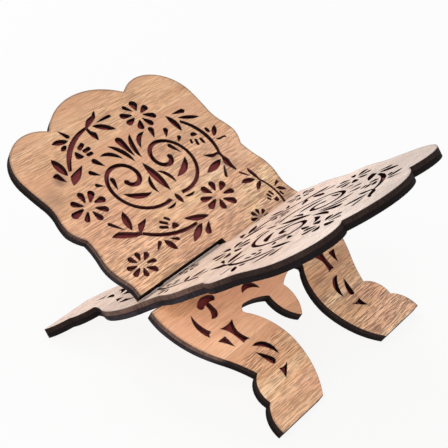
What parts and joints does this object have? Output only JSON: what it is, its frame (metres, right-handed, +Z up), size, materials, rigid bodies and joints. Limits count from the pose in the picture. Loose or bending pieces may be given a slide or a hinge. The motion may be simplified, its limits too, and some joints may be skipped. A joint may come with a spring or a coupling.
{
  "type": "folding book stand",
  "caption": "Folding wooden book stand of identical slotted boards that cross in an X, with fretwork flowers and vines over a maroon backing.",
  "frame": {"origin": "on the table under the middle of the crossing", "axes": "+X along the crossing, +Y towards the far leaf's book rest, +Z up"},
  "size_m": [0.2268, 0.345, 0.1871],
  "materials": {
    "light_wood": "unvarnished open-grain veneer, laser-burnt edges",
    "maroon_board": "matt maroon face, laser-burnt edges"
  },
  "bodies": {
    "far_leaf": {"far_leaf_fretwork": "light_wood", "far_leaf_backing": "maroon_board"},
    "near_leaf": {"near_leaf_fretwork": "light_wood", "near_leaf_backing": "maroon_board"}
  },
  "joints": [
    {"name": "crossing_fold", "type": "hinge", "parent": "far_leaf", "child": "near_leaf", "pos_m": [0, 0, 0.08096], "axis": [-1, 0, 0], "range_deg": [0, 57]}
  ]
}
